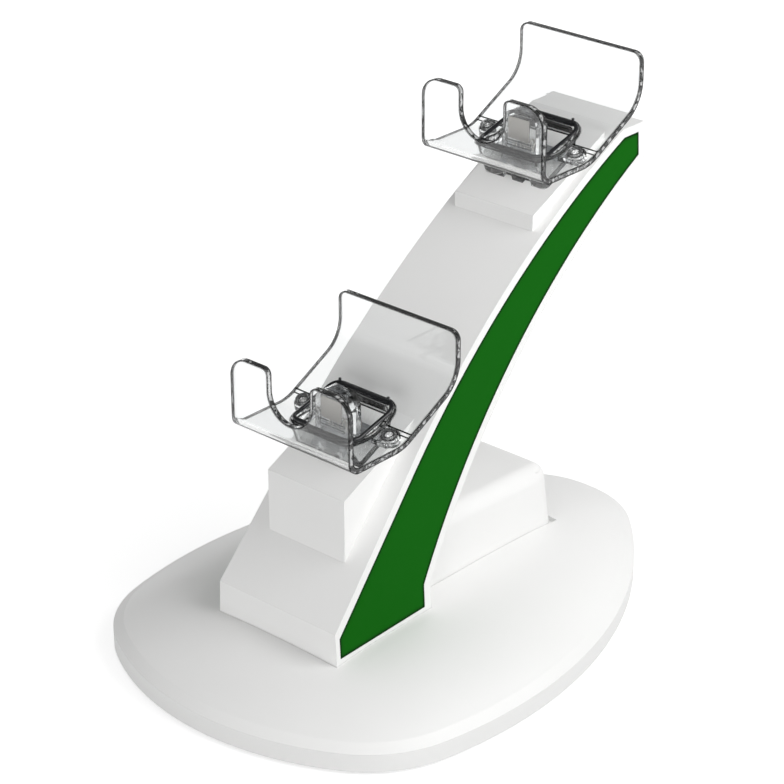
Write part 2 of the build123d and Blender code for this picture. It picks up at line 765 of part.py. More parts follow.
# Cradle, tub and plug of each tier
for tier, (tier_y, tier_z) in tiers.items():
    side = Plane(origin=(0, tier_y, tier_z), x_dir=(0, 1, 0), z_dir=(1, 0, 0))
    front = Plane(origin=(0, tier_y, tier_z), x_dir=(1, 0, 0), z_dir=(0, -1, 0))
    above = Plane(origin=(0, tier_y, tier_z), x_dir=(1, 0, 0), z_dir=(0, 0, 1))
    floor_seat = seat_plane(tier_y, tier_z, tub_floor)
    board_seat = seat_plane(tier_y, tier_z, tub_floor + board_thickness)
    screw_reach = up_slope(tub_screw_y, 0)
    peg_reach = up_slope(carrier_front + carrier_thickness / 2, tub_floor)
    board_reach = [up_slope(y, tub_floor) for y in (board_front, board_back)]
    opening_y = (opening_front + opening_back) / 2
    opening_length = opening_back - opening_front

    def floor_strip(low, high, start_y, end_y):
        """Side view of a layer that follows the cradle floor."""
        with BuildSketch(side) as strip:
            with BuildLine():
                under = floor_line(low, start_y, end_y)
                over = floor_line(high, start_y, end_y)
                Line(under @ 0, over @ 0)
                Line(under @ 1, over @ 1)
            make_face()
        return strip.sketch

    # Cradle
    with BuildPart() as rim:
        with BuildSketch(above):
            with Locations((0, opening_y)):
                RectangleRounded(
                    2 * (opening_half_width + rim_width),
                    opening_length + 2 * rim_width,
                    opening_corner + rim_width,
                )
        extrude(amount=cradle_back_top)
        strip = floor_strip(cradle_thickness / 2, cradle_thickness + rim_proud, 2.0, 42.0)
        extrude(strip, amount=cradle_half_width, both=True, mode=Mode.INTERSECT)
    with BuildPart() as cradle:
        extrude(cradle_profile(side, cradle_thickness), amount=cradle_half_width, both=True)
        with BuildSketch(front.offset(cradle_overhang + 1)):
            with Locations((0, notch_bottom + notch_radius)):
                Circle(notch_radius)
            with Locations((0, notch_bottom + notch_radius + 15)):
                Rectangle(2 * notch_radius, 30)
        extrude(amount=-(cradle_thickness + 2), mode=Mode.SUBTRACT)
        tops = cradle.edges().filter_by(Axis.Y)
        lips = tops.filter_by(lambda e: e.center().Y < tier_y and abs(e.center().X) < cradle_half_width - 1)
        tabs = tops.filter_by(
            lambda e: e.center().Y < tier_y
            and abs(e.center().X) > cradle_half_width - 1
            and e.center().Z > tier_z + cradle_front_top - 1
        )
        backs = tops.filter_by(
            lambda e: e.center().Y > tier_y + cradle_back_y - 4
            and e.center().Z > tier_z + cradle_back_top - 1
        )
        fillet(lips, notch_lip)
        fillet(tabs, cradle_front_corner)
        fillet(backs, cradle_back_corner)
        add(rim.part)
        with BuildSketch(above):
            with Locations((0, opening_y)):
                RectangleRounded(2 * opening_half_width, opening_length, opening_corner)
        extrude(amount=cradle_back_top, mode=Mode.SUBTRACT)
        for x in (-tub_ear_x, tub_ear_x):
            with Locations(bend_plane(tier_y, tier_z, x, cradle_thickness - screw_spot_depth)):
                Cylinder(
                    screw_head_radius + 0.2, 6, align=(Align.CENTER, Align.CENTER, Align.MIN), mode=Mode.SUBTRACT
                )
                Cylinder(screw_hole_radius, 12, mode=Mode.SUBTRACT)
    save(cradle.part, f"{tier}_cradle")

    # Tub
    def tub_body(wall):
        """Leaning box from the pedestal's sloping top to the cradle's underside."""
        fall = tan(radians(pedestal_slope))
        lift = wall / cos(radians(pedestal_slope))
        with BuildPart() as body:
            with BuildSketch(side):
                with BuildLine():
                    top = floor_line(0.0, tub_front_top + wall, tub_back_top - wall)
                    foot = (tub_front_foot + wall, (tub_front_foot + wall) * fall + lift)
                    heel = (tub_back_foot - wall, (tub_back_foot - wall) * fall + lift)
                    Polyline(top @ 0, foot, heel, top @ 1)
                make_face()
            extrude(amount=tub_half_width - wall, both=True)
            uprights = body.edges().filter_by(
                lambda e: abs(e.tangent_at(0.5).Z) > 0.8 and abs(e.tangent_at(0.5).X) < 0.1
            )
            fillet(uprights, max(tub_corner - wall, 0.6))
        return body.part

    with BuildPart() as ears:
        with BuildSketch(above):
            ear_y = bend_plane(tier_y, tier_z, 0, 0).origin.Y - tier_y
            for s in (-1, 1):
                with Locations((s * tub_ear_x, ear_y)):
                    Circle(tub_ear_radius)
                with Locations((s * (tub_half_width + tub_ear_x) / 2, ear_y)):
                    Rectangle(tub_ear_x - tub_half_width + 2, 2 * tub_ear_radius)
        extrude(amount=cradle_back_top)
        extrude(
            floor_strip(-tub_ear_thickness, 0.0, 2.0, 42.0),
            amount=cradle_half_width,
            both=True,
            mode=Mode.INTERSECT,
        )
    with BuildPart() as connector_tub:
        add(tub_body(0.0))
        add(ears.part)
        for x in (-tub_ear_x, tub_ear_x):
            with Locations(bend_plane(tier_y, tier_z, x, -0.6)):
                Cylinder(tub_boss_radius, tub_boss_length, align=(Align.CENTER, Align.CENTER, Align.MAX))
            with Locations(bend_plane(tier_y, tier_z, x, 1.0)):
                Cylinder(
                    screw_radius + screw_fit,
                    12,
                    align=(Align.CENTER, Align.CENTER, Align.MAX),
                    mode=Mode.SUBTRACT,
                )
        add(tub_body(tub_wall), mode=Mode.SUBTRACT)
        with BuildSketch(front):
            for x in tub_arch_x:
                with Locations((x, tub_front_foot * tan(radians(pedestal_slope)))):
                    with Locations((0, tub_arch_height - tub_arch_radius)):
                        Circle(tub_arch_radius)
                    with Locations((0, (tub_arch_height - tub_arch_radius) / 2)):
                        Rectangle(2 * tub_arch_radius, tub_arch_height - tub_arch_radius)
        extrude(amount=-(tub_front_foot + tub_wall), mode=Mode.SUBTRACT)
        with Locations(floor_seat):
            with Locations((-tub_screw_x, screw_reach, 0), (tub_screw_x, screw_reach, 0)):
                Hole(screw_hole_radius, depth=tub_floor)
            with Locations((0, screw_reach, 0)):
                Hole(wire_hole_radius, depth=tub_floor)
    save(connector_tub.part, f"{tier}_connector_tub")

    # Contact board
    with BuildPart() as contact_board:
        with BuildSketch(floor_seat):
            with Locations((0, sum(board_reach) / 2)):
                Rectangle(2 * board_half_width, board_reach[1] - board_reach[0])
            with Locations(*[(s * carrier_peg_x, peg_reach) for s in (-1, 1)]):
                Circle(carrier_peg_radius + carrier_peg_gap, mode=Mode.SUBTRACT)
        extrude(amount=board_thickness)
    save(contact_board.part, f"{tier}_contact_board")

    # Plug carrier
    with BuildPart() as plug_carrier:
        with BuildSketch(front.offset(-carrier_front)):
            with Locations((0, carrier_top / 2)):
                Rectangle(2 * carrier_half_width, carrier_top)
        extrude(amount=-carrier_thickness)
        shoulders = plug_carrier.faces().sort_by(Axis.Z)[-1].edges().filter_by(Axis.Y)
        fillet(shoulders, carrier_corner)
        split(bisect_by=board_seat, keep=Keep.TOP)
        with Locations(board_seat):
            with Locations(*[(s * carrier_peg_x, peg_reach, 0) for s in (-1, 1)]):
                Cylinder(carrier_peg_radius, board_thickness, align=(Align.CENTER, Align.CENTER, Align.MAX))
        with BuildSketch(front.offset(-carrier_front)):
            for drop in rib_drops:
                with Locations((0, plate_bottom - drop)):
                    Rectangle(2 * rib_half_width, rib_height)
        extrude(amount=0.5)
        with BuildSketch(front.offset(-carrier_front)):
            with Locations((0, plate_bottom + plate_height / 2)):
                Rectangle(2 * (plate_half_width + plate_gap), plate_height + 2 * plate_gap)
        extrude(amount=-plate_sunk, mode=Mode.SUBTRACT)
    save(plug_carrier.part, f"{tier}_plug_carrier")

    # Contact plate
    with BuildPart() as contact_plate:
        with BuildSketch(front.offset(-carrier_front - plate_sunk)):
            with Locations((0, plate_bottom + plate_height / 2)):
                RectangleRounded(2 * plate_half_width, plate_height, 0.6)
        extrude(amount=plate_thickness)
    save(contact_plate.part, f"{tier}_contact_plate")

    # Screws through the cradle and through the tub floor
    cradle_seats = [
        bend_plane(tier_y, tier_z, x, cradle_thickness - screw_spot_depth) for x in (-tub_ear_x, tub_ear_x)
    ]
    tub_seats = [
        Plane(origin=floor_seat.from_local_coords((x, screw_reach, 0)), z_dir=floor_seat.z_dir)
        for x in (-tub_screw_x, tub_screw_x)
    ]
    down = Location((0, 0, 0), (180, 0, 0))
    save(screws([seat.location * down for seat in cradle_seats], 6.0), f"{tier}_cradle_screws")
    save(screws([seat.location * down for seat in tub_seats]), f"{tier}_tub_screws")
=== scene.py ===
import math

import bmesh
import bpy
from mathutils import Matrix, Vector


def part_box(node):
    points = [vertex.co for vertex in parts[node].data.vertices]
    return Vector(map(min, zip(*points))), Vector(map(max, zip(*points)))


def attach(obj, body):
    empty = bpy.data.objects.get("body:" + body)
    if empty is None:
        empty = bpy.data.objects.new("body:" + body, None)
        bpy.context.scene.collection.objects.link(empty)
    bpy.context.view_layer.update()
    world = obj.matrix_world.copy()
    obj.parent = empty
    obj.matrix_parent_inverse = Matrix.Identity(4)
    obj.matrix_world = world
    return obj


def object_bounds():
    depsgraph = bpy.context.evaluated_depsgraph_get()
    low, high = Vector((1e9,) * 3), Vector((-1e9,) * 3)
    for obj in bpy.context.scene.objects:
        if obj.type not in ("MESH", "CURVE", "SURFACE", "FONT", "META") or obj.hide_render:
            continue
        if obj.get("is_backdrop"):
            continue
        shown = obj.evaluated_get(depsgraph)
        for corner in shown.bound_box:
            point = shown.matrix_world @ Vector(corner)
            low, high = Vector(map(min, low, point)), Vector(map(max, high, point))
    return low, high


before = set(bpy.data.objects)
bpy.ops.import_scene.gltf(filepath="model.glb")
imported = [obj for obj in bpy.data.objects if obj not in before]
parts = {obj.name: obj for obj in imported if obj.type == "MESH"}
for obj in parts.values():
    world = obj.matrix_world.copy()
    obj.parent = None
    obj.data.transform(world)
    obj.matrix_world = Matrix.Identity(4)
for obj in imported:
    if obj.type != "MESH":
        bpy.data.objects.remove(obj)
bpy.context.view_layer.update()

# Base: the top shell and the bottom cover, both moulded in white ABS with a
# satin skin from a fine eroded mould. The cover is screwed up into the shell.


def linear(code):
    """Linear RGBA of an sRGB hex colour."""
    steps = [int(code[i : i + 2], 16) / 255 for i in (1, 3, 5)]
    return tuple(c / 12.92 if c <= 0.04045 else ((c + 0.055) / 1.055) ** 2.4 for c in steps) + (1.0,)


def put(tree, kind, sockets=None, **settings):
    """A new node with its settings; a socket gets a link if it is given another socket."""
    made = tree.nodes.new(kind)
    for name, value in settings.items():
        setattr(made, name, value)
    for name, value in (sockets or {}).items():
        if isinstance(value, bpy.types.NodeSocket):
            tree.links.new(value, made.inputs[name])
        else:
            made.inputs[name].default_value = value
    return made


# A Mix node that blends colours has its two colours and its result at these sockets.
mix_first, mix_second, mix_result = 6, 7, 2


def blank_material(name):
    """An empty node material and its tree."""
    material = bpy.data.materials.new(name)
    material.use_nodes = True
    material.node_tree.nodes.clear()
    return material, material.node_tree


def sharp_edges(tree, radius_mm):
    """1 in a band along the sharp edges of a piece, far narrower than the radius, and 0 elsewhere."""
    face = put(tree, "ShaderNodeNewGeometry")
    rounded = put(tree, "ShaderNodeBevel", {"Radius": radius_mm / 1000}, samples=6)
    agree = put(
        tree,
        "ShaderNodeVectorMath",
        {0: rounded.outputs["Normal"], 1: face.outputs["Normal"]},
        operation="DOT_PRODUCT",
    )
    band = put(
        tree,
        "ShaderNodeMapRange",
        {"Value": agree.outputs["Value"], "From Min": 0.998, "From Max": 0.97, "To Min": 0.0, "To Max": 1.0},
    )
    return band.outputs["Result"]


def moulded_abs(name, colour, shade, painted_edge_shade, painted_edge_mm, roughness, gloss, grain_mm, grain_height_mm):
    """Moulded ABS: faint cloudy flow marks, a fine eroded grain, and a painted shade along the sharp edges.

    The grain of such a mould is finer than a tenth of a millimetre, and is drawn coarser to show.
    """
    flow_mm = 45
    material, tree = blank_material(name)
    place = put(tree, "ShaderNodeTexCoord")
    flow = put(
        tree,
        "ShaderNodeTexNoise",
        {"Vector": place.outputs["Object"], "Scale": 1000 / flow_mm, "Detail": 2.0},
    )
    tint = put(
        tree,
        "ShaderNodeMix",
        {"Factor": flow.outputs["Fac"], mix_first: linear(colour), mix_second: linear(shade)},
        data_type="RGBA",
    )
    # Painted shade: the colour turns darker in a thin band along the sharp edges.
    tint_with_painted_edge_shade = put(
        tree,
        "ShaderNodeMix",
        {
            "Factor": sharp_edges(tree, painted_edge_mm),
            mix_first: tint.outputs[mix_result],
            mix_second: linear(painted_edge_shade),
        },
        data_type="RGBA",
    )
    grain = put(
        tree,
        "ShaderNodeTexNoise",
        {"Vector": place.outputs["Object"], "Scale": 1000 / grain_mm, "Detail": 3.0},
    )
    skin = put(
        tree,
        "ShaderNodeMapRange",
        {"Value": grain.outputs["Fac"], "To Min": roughness - 0.05, "To Max": roughness + 0.05},
    )
    relief = put(
        tree,
        "ShaderNodeBump",
        {"Height": grain.outputs["Fac"], "Strength": 0.5, "Distance": grain_height_mm / 1000},
    )
    surface = put(
        tree,
        "ShaderNodeBsdfPrincipled",
        {
            "Base Color": tint_with_painted_edge_shade.outputs[mix_result],
            "Roughness": skin.outputs["Result"],
            "IOR": 1.53,
            "Specular IOR Level": gloss,
            "Normal": relief.outputs["Normal"],
        },
    )
    put(tree, "ShaderNodeOutputMaterial", {"Surface": surface.outputs["BSDF"]})
    return material


def dress(node, material):
    """Gives a CAD piece its finish."""
    mesh = parts[node].data
    mesh.materials.clear()
    mesh.materials.append(material)


# White ABS, with a slight painted shade along its sharp edges.
white_abs = moulded_abs(
    "white satin moulded ABS",
    colour="#EDEDEC",
    shade="#E9E9E8",
    painted_edge_shade="#E2E2E1",
    painted_edge_mm=0.4,
    roughness=0.45,
    gloss=0.35,
    grain_mm=1.2,
    grain_height_mm=0.02,
)
dress("base_top_shell", white_abs)
dress("base_bottom_cover", white_abs)

# Ballast plate, feet and screws. The plate is zinc-plated steel, put on two
# pins of the cover. The feet are grey rubber pads glued into round recesses.


def plated_steel(name, colour, roughness, grain_mm):
    """Plated steel: a fine lengthwise grain in the roughness under a thin bright plating.

    The rolled grain is finer than it can show, so it is drawn coarser.
    """
    material, tree = blank_material(name)
    place = put(tree, "ShaderNodeTexCoord")
    stretch = put(tree, "ShaderNodeMapping", {"Vector": place.outputs["Object"], "Scale": (1, 0.08, 1)})
    grain = put(
        tree,
        "ShaderNodeTexNoise",
        {"Vector": stretch.outputs["Vector"], "Scale": 1000 / grain_mm, "Detail": 4.0},
    )
    skin = put(
        tree,
        "ShaderNodeMapRange",
        {"Value": grain.outputs["Fac"], "To Min": roughness - 0.08, "To Max": roughness + 0.08},
    )
    surface = put(
        tree,
        "ShaderNodeBsdfPrincipled",
        {"Base Color": linear(colour), "Metallic": 1.0, "Roughness": skin.outputs["Result"]},
    )
    put(tree, "ShaderNodeOutputMaterial", {"Surface": surface.outputs["BSDF"]})
    return material


def matt_moulding(name, colour, roughness, grain_mm):
    """Moulded rubber or nylon: a dull skin with a soft pebbled grain, drawn coarser than it is."""
    material, tree = blank_material(name)
    place = put(tree, "ShaderNodeTexCoord")
    grain = put(
        tree,
        "ShaderNodeTexVoronoi",
        {"Vector": place.outputs["Object"], "Scale": 1000 / grain_mm},
    )
    relief = put(
        tree,
        "ShaderNodeBump",
        {"Height": grain.outputs["Distance"], "Strength": 0.4, "Distance": 0.0001},
    )
    surface = put(
        tree,
        "ShaderNodeBsdfPrincipled",
        {
            "Base Color": linear(colour),
            "Roughness": roughness,
            "IOR": 1.52,
            "Normal": relief.outputs["Normal"],
        },
    )
    put(tree, "ShaderNodeOutputMaterial", {"Surface": surface.outputs["BSDF"]})
    return material


zinc_steel = plated_steel("zinc plated steel", "#C4C7CA", roughness=0.34, grain_mm=0.4)
grey_rubber = matt_moulding("matt grey moulded rubber", "#3B3C3E", roughness=0.75, grain_mm=0.8)
dress("ballast_plate", zinc_steel)
dress("rubber_feet", grey_rubber)
dress("base_screws", zinc_steel)
dress("body_screws", zinc_steel)

# Arm: the front shell with its two pedestals and the rear cover, both white
# ABS. The cover is screwed from behind into bosses of the shell.

dress("arm_front_shell", white_abs)
dress("arm_rear_cover", white_abs)
dress("arm_screws", zinc_steel)

# Side panels: green ABS strips, pressed into recesses in both sides of the
# arm, flush with the white border. Their face is matt and even in colour, and a
# dark green is painted along their edges as shade of the gap around them.

# Green ABS, with a dark painted shade along the panel edges.
green_abs = moulded_abs(
    "green matt moulded ABS",
    colour="#0A5C08",
    shade="#0A5908",
    painted_edge_shade="#041C04",
    painted_edge_mm=2.4,
    roughness=0.6,
    gloss=0.04,
    grain_mm=0.9,
    grain_height_mm=0.008,
)
dress("side_panel_left", green_abs)
dress("side_panel_right", green_abs)

# Rear housing with the main board and the power inlet. The housing is white
# ABS, screwed down from inside the base. The board stands on four posts.


def circuit_laminate(name, mask, copper, track_mm):
    """Glass-fibre laminate: grey solder mask, a little lighter where copper lies under it."""
    material, tree = blank_material(name)
    place = put(tree, "ShaderNodeTexCoord")
    tracks = put(
        tree,
        "ShaderNodeTexBrick",
        {
            "Vector": place.outputs["Object"],
            "Scale": 1.0,
            "Mortar Size": 0.12 * track_mm / 1000,
            "Brick Width": 6 * track_mm / 1000,
            "Row Height": track_mm / 1000,
            "Color1": linear(copper),
            "Color2": linear(mask),
            "Mortar": linear(mask),
        },
    )
    surface = put(
        tree,
        "ShaderNodeBsdfPrincipled",
        {"Base Color": tracks.outputs["Color"], "Roughness": 0.28, "IOR": 1.55},
    )
    put(tree, "ShaderNodeOutputMaterial", {"Surface": surface.outputs["BSDF"]})
    return material


laminate = circuit_laminate(
    "grey masked circuit laminate", mask="#6E7174", copper="#8A8D8F", track_mm=0.9
)
black_nylon = matt_moulding("matt black moulded nylon", "#17181A", roughness=0.5, grain_mm=0.9)
dress("rear_housing", white_abs)
dress("main_board", laminate)
dress("board_screws", zinc_steel)
dress("power_inlet", black_nylon)

# Cradles, tubs and plug carriers: clear acrylic. The cradle is bent warm from
# one sheet and its edges are cut, the tub and the carrier are moulded. Light
# leaves the sheet at its corners, so they look like thin dark lines; here these
# lines are a painted shade, a dark colour along the sharp edges.

# Place and half width of the painted dark line across each cradle sheet at its bend.
crease_back = 0.0258
crease_half_width = 0.00028


def clear_acrylic(name, tint, painted_edge_shade, painted_edge_mm, frost_and_highlight, roughness, ripple_mm, crease_y=None):
    """Clear acrylic: polished, with slow ripples in its faces, and a painted dark line along its sharp
    edges.

    Faces turned to the side are cut edges, with pale flecks that are partly the cutter's frosting and
    partly a painted highlight. A bent sheet also has a painted dark line across its upper face at
    crease_y, as shade of the bend. Shadows and soft light pass straight through.
    """
    fleck_mm = 2.5
    material, tree = blank_material(name)
    place = put(tree, "ShaderNodeTexCoord")
    ripple = put(
        tree,
        "ShaderNodeTexNoise",
        {"Vector": place.outputs["Object"], "Scale": 1000 / ripple_mm, "Detail": 1.0},
    )
    relief = put(
        tree,
        "ShaderNodeBump",
        {"Height": ripple.outputs["Fac"], "Strength": 0.12, "Distance": 0.0001},
    )
    facing = put(tree, "ShaderNodeNewGeometry")
    side = put(tree, "ShaderNodeSeparateXYZ", {"Vector": facing.outputs["True Normal"]})
    # Painted shade: a dark line along the sharp edges, where light leaves the sheet.
    line = sharp_edges(tree, painted_edge_mm)
    if crease_y is not None:
        # Painted shade: a thin dark line across the upper face at the bend.
        axes = put(tree, "ShaderNodeSeparateXYZ", {"Vector": place.outputs["Object"]})
        crease = put(
            tree,
            "ShaderNodeMath",
            {0: axes.outputs["Y"], 1: crease_y, 2: crease_half_width},
            operation="COMPARE",
        )
        upper = put(tree, "ShaderNodeMath", {0: side.outputs["Z"], 1: 0.2}, operation="GREATER_THAN")
        painted_crease_line = put(
            tree,
            "ShaderNodeMath",
            {0: crease.outputs["Value"], 1: upper.outputs["Value"]},
            operation="MULTIPLY",
        )
        both = put(tree, "ShaderNodeMath", {0: line, 1: painted_crease_line.outputs["Value"]}, operation="MAXIMUM")
        line = both.outputs["Value"]
    colour = put(
        tree,
        "ShaderNodeMix",
        {"Factor": line, mix_first: linear(tint), mix_second: linear(painted_edge_shade)},
        data_type="RGBA",
    )
    surface = put(
        tree,
        "ShaderNodeBsdfPrincipled",
        {
            "Base Color": colour.outputs[mix_result],
            "Roughness": roughness,
            "IOR": 1.49,
            "Transmission Weight": 1.0,
            "Normal": relief.outputs["Normal"],
        },
    )
    # Pale flecks on the cut faces: partly the cutter's frosting, partly a painted highlight.
    sideways = put(tree, "ShaderNodeMath", {0: side.outputs["X"]}, operation="ABSOLUTE")
    cut = put(
        tree,
        "ShaderNodeMapRange",
        {
            "Value": sideways.outputs["Value"],
            "From Min": 0.03,
            "From Max": 0.1,
            "To Min": 0.0,
            "To Max": frost_and_highlight,
        },
    )
    marks = put(
        tree,
        "ShaderNodeTexNoise",
        {"Vector": place.outputs["Object"], "Scale": 1000 / fleck_mm, "Detail": 2.0},
    )
    flecks = put(
        tree,
        "ShaderNodeMapRange",
        {"Value": marks.outputs["Fac"], "From Min": 0.5, "From Max": 0.58, "To Min": 0.0, "To Max": 1.0},
    )
    inner = put(tree, "ShaderNodeMath", {0: 1.0, 1: line}, operation="SUBTRACT")
    lit = put(
        tree,
        "ShaderNodeMath",
        {0: cut.outputs["Result"], 1: flecks.outputs["Result"]},
        operation="MULTIPLY",
    )
    share = put(
        tree,
        "ShaderNodeMath",
        {0: lit.outputs["Value"], 1: inner.outputs["Value"]},
        operation="MULTIPLY",
    )
    cover = put(tree, "ShaderNodeMath", {0: share.outputs["Value"], 1: line}, operation="MAXIMUM")
    # The flecks' pale colour, with the painted dark line along the edges.
    frost_highlight_and_line_colour = put(
        tree,
        "ShaderNodeMix",
        {"Factor": line, mix_first: linear("#F2F3F3"), mix_second: linear(painted_edge_shade)},
        data_type="RGBA",
    )
    frost_highlight_and_line_surface = put(tree, "ShaderNodeBsdfDiffuse", {"Color": frost_highlight_and_line_colour.outputs[mix_result], "Roughness": 0.3})
    edged = put(
        tree,
        "ShaderNodeMixShader",
        {0: cover.outputs["Value"], 1: surface.outputs["BSDF"], 2: frost_highlight_and_line_surface.outputs["BSDF"]},
    )
    passing = put(tree, "ShaderNodeBsdfTransparent", {"Color": (0.98, 0.98, 0.98, 1)})
    rays = put(tree, "ShaderNodeLightPath")
    straight = put(
        tree,
        "ShaderNodeMath",
        {0: rays.outputs["Is Shadow Ray"], 1: rays.outputs["Is Diffuse Ray"]},
        operation="MAXIMUM",
    )
    clear = put(
        tree,
        "ShaderNodeMixShader",
        {0: straight.outputs["Value"], 1: edged.outputs["Shader"], 2: passing.outputs["BSDF"]},
    )
    inside = put(tree, "ShaderNodeVolumeAbsorption", {"Color": linear("#8C9092"), "Density": 8.0})
    put(
        tree,
        "ShaderNodeOutputMaterial",
        {"Surface": clear.outputs["Shader"], "Volume": inside.outputs["Volume"]},
    )
    return material


tiers = ("lower", "upper")
cradle_overhang = 0.008
cradle_floor_height = 0.0166
moulded_acrylic = clear_acrylic(
    "clear moulded acrylic",
    tint="#FAFBFB",
    painted_edge_shade="#0C0D0E",
    painted_edge_mm=0.35,
    frost_and_highlight=0.05,
    roughness=0.02,
    ripple_mm=6.0,
)

# A seat is the front edge of a pedestal's top, from which the pieces of its tier are placed.
seats = {}
for tier in tiers:
    low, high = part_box(f"{tier}_cradle")
    seats[tier] = Vector((0, low[1] + cradle_overhang, low[2] - cradle_floor_height))
    sheet = clear_acrylic(
        f"clear polished acrylic sheet {tier}",
        tint="#FDFEFE",
        painted_edge_shade="#040505",
        painted_edge_mm=1.3,
        frost_and_highlight=0.5,
        roughness=0.0,
        ripple_mm=14.0,
        crease_y=seats[tier].y + crease_back,
    )
    dress(f"{tier}_cradle", sheet)
    dress(f"{tier}_connector_tub", moulded_acrylic)
    dress(f"{tier}_plug_carrier", moulded_acrylic)
    dress(f"{tier}_cradle_screws", moulded_acrylic)
    dress(f"{tier}_tub_screws", zinc_steel)

# Contact plates, boards and leads. A nickel-plated plate lies on the front of
# each plug. A row of fine bent leads joins it to the board under the plug.

lead_count = 5
lead_pitch = 0.0021
lead_radius = 0.00035
lead_depth = 0.0042
lead_arch = 0.0042
lead_gap = 0.0006
lead_drop = 0.0012
lead_steps = 12
contact_nickel = plated_steel("grey nickel contact plate", "#A7A4A0", roughness=0.5, grain_mm=0.3)


def shape_tree(name, inputs):
    """An empty geometry node tree with the given named inputs, and its input and output nodes."""
    tree = bpy.data.node_groups.new(name, "GeometryNodeTree")
    tree.interface.new_socket("Geometry", in_out="INPUT", socket_type="NodeSocketGeometry")
    for label, kind in inputs.items():
        tree.interface.new_socket(label, in_out="INPUT", socket_type=kind)
    tree.interface.new_socket("Geometry", in_out="OUTPUT", socket_type="NodeSocketGeometry")
    return tree, put(tree, "NodeGroupInput"), put(tree, "NodeGroupOutput")


def grow(name, points, closed, tree, values):
    """A plain mesh made by a geometry node tree from a line of points."""
    line = bpy.data.meshes.new(name)
    edges = [(i, i + 1) for i in range(len(points) - 1)]
    if closed:
        edges.append((len(points) - 1, 0))
    line.from_pydata(points, edges, [])
    piece = bpy.data.objects.new(name, line)
    bpy.context.collection.objects.link(piece)
    growth = piece.modifiers.new("growth", "NODES")
    growth.node_group = tree
    for item in tree.interface.items_tree:
        if item.in_out == "INPUT" and item.name in values:
            growth[item.identifier] = values[item.name]
    graph = bpy.context.evaluated_depsgraph_get()
    solid = bpy.data.meshes.new_from_object(piece.evaluated_get(graph))
    piece.modifiers.remove(growth)
    piece.data = solid
    solid.name = name
    return piece


wire_tree, wire_in, wire_out = shape_tree(
    "round bar along a line",
    {"Radius": "NodeSocketFloat", "Flatness": "NodeSocketFloat", "Material": "NodeSocketMaterial"},
)
wire_path = put(wire_tree, "GeometryNodeMeshToCurve", {"Mesh": wire_in.outputs["Geometry"]})
wire_ring = put(
    wire_tree,
    "GeometryNodeCurvePrimitiveCircle",
    {"Resolution": 12, "Radius": wire_in.outputs["Radius"]},
)
wire_squeeze = put(
    wire_tree,
    "ShaderNodeCombineXYZ",
    {"X": 1.0, "Y": wire_in.outputs["Flatness"], "Z": 1.0},
)
wire_section = put(
    wire_tree,
    "GeometryNodeTransform",
    {"Geometry": wire_ring.outputs["Curve"], "Scale": wire_squeeze.outputs["Vector"]},
)
wire_bar = put(
    wire_tree,
    "GeometryNodeCurveToMesh",
    {
        "Curve": wire_path.outputs["Curve"],
        "Profile Curve": wire_section.outputs["Geometry"],
        "Fill Caps": True,
    },
)
wire_real = put(wire_tree, "GeometryNodeRealizeInstances", {"Geometry": wire_bar.outputs["Mesh"]})
wire_made = put(
    wire_tree,
    "GeometryNodeSetMaterial",
    {"Geometry": wire_real.outputs["Geometry"], "Material": wire_in.outputs["Material"]},
)
wire_tree.links.new(wire_made.outputs["Geometry"], wire_out.inputs["Geometry"])

row_tree, row_in, row_out = shape_tree(
    "row of round rods",
    {
        "Count": "NodeSocketInt",
        "Pitch": "NodeSocketFloat",
        "Radius": "NodeSocketFloat",
        "Material": "NodeSocketMaterial",
    },
)
row_path = put(row_tree, "GeometryNodeMeshToCurve", {"Mesh": row_in.outputs["Geometry"]})
row_ring = put(
    row_tree,
    "GeometryNodeCurvePrimitiveCircle",
    {"Resolution": 8, "Radius": row_in.outputs["Radius"]},
)
row_rod = put(
    row_tree,
    "GeometryNodeCurveToMesh",
    {"Curve": row_path.outputs["Curve"], "Profile Curve": row_ring.outputs["Curve"], "Fill Caps": True},
)
row_step = put(row_tree, "ShaderNodeCombineXYZ", {"X": row_in.outputs["Pitch"]})
row_line = put(
    row_tree,
    "GeometryNodeMeshLine",
    {"Count": row_in.outputs["Count"], "Offset": row_step.outputs["Vector"]},
)
row_copies = put(
    row_tree,
    "GeometryNodeInstanceOnPoints",
    {"Points": row_line.outputs["Mesh"], "Instance": row_rod.outputs["Mesh"]},
)
row_real = put(row_tree, "GeometryNodeRealizeInstances", {"Geometry": row_copies.outputs["Instances"]})
row_made = put(
    row_tree,
    "GeometryNodeSetMaterial",
    {"Geometry": row_real.outputs["Geometry"], "Material": row_in.outputs["Material"]},
)
row_tree.links.new(row_made.outputs["Geometry"], row_out.inputs["Geometry"])

for tier in tiers:
    plug_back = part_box(f"{tier}_plug_carrier")[1][1]
    board_low, board_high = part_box(f"{tier}_contact_board")
    board_slope = (board_high[2] - board_low[2]) / (board_high[1] - board_low[1])
    foot_y = plug_back + lead_depth
    foot_z = board_low[2] + board_slope * (foot_y - board_low[1]) + lead_radius
    first_x = -lead_pitch * (lead_count - 1) / 2
    lead_line = []
    for step in range(lead_steps + 1):
        turn = math.pi * step / lead_steps
        lead_y = plug_back + lead_radius + lead_depth / 2 * (1 - math.cos(turn))
        lead_z = foot_z + lead_gap + lead_arch * math.sin(turn) + lead_drop * (1 - step / lead_steps)
        lead_line.append((first_x, lead_y, lead_z))
    leads = grow(
        f"{tier}_contact_leads",
        lead_line,
        False,
        row_tree,
        {"Count": lead_count, "Pitch": lead_pitch, "Radius": lead_radius, "Material": contact_nickel},
    )
    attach(leads, "root")
    dress(f"{tier}_contact_plate", contact_nickel)
    dress(f"{tier}_contact_board", laminate)

# Opening seals: a dark, glossy silicone bead lies on the raised rim of each
# opening, thicker at the back, where two pegs of it grip the rim's corners.

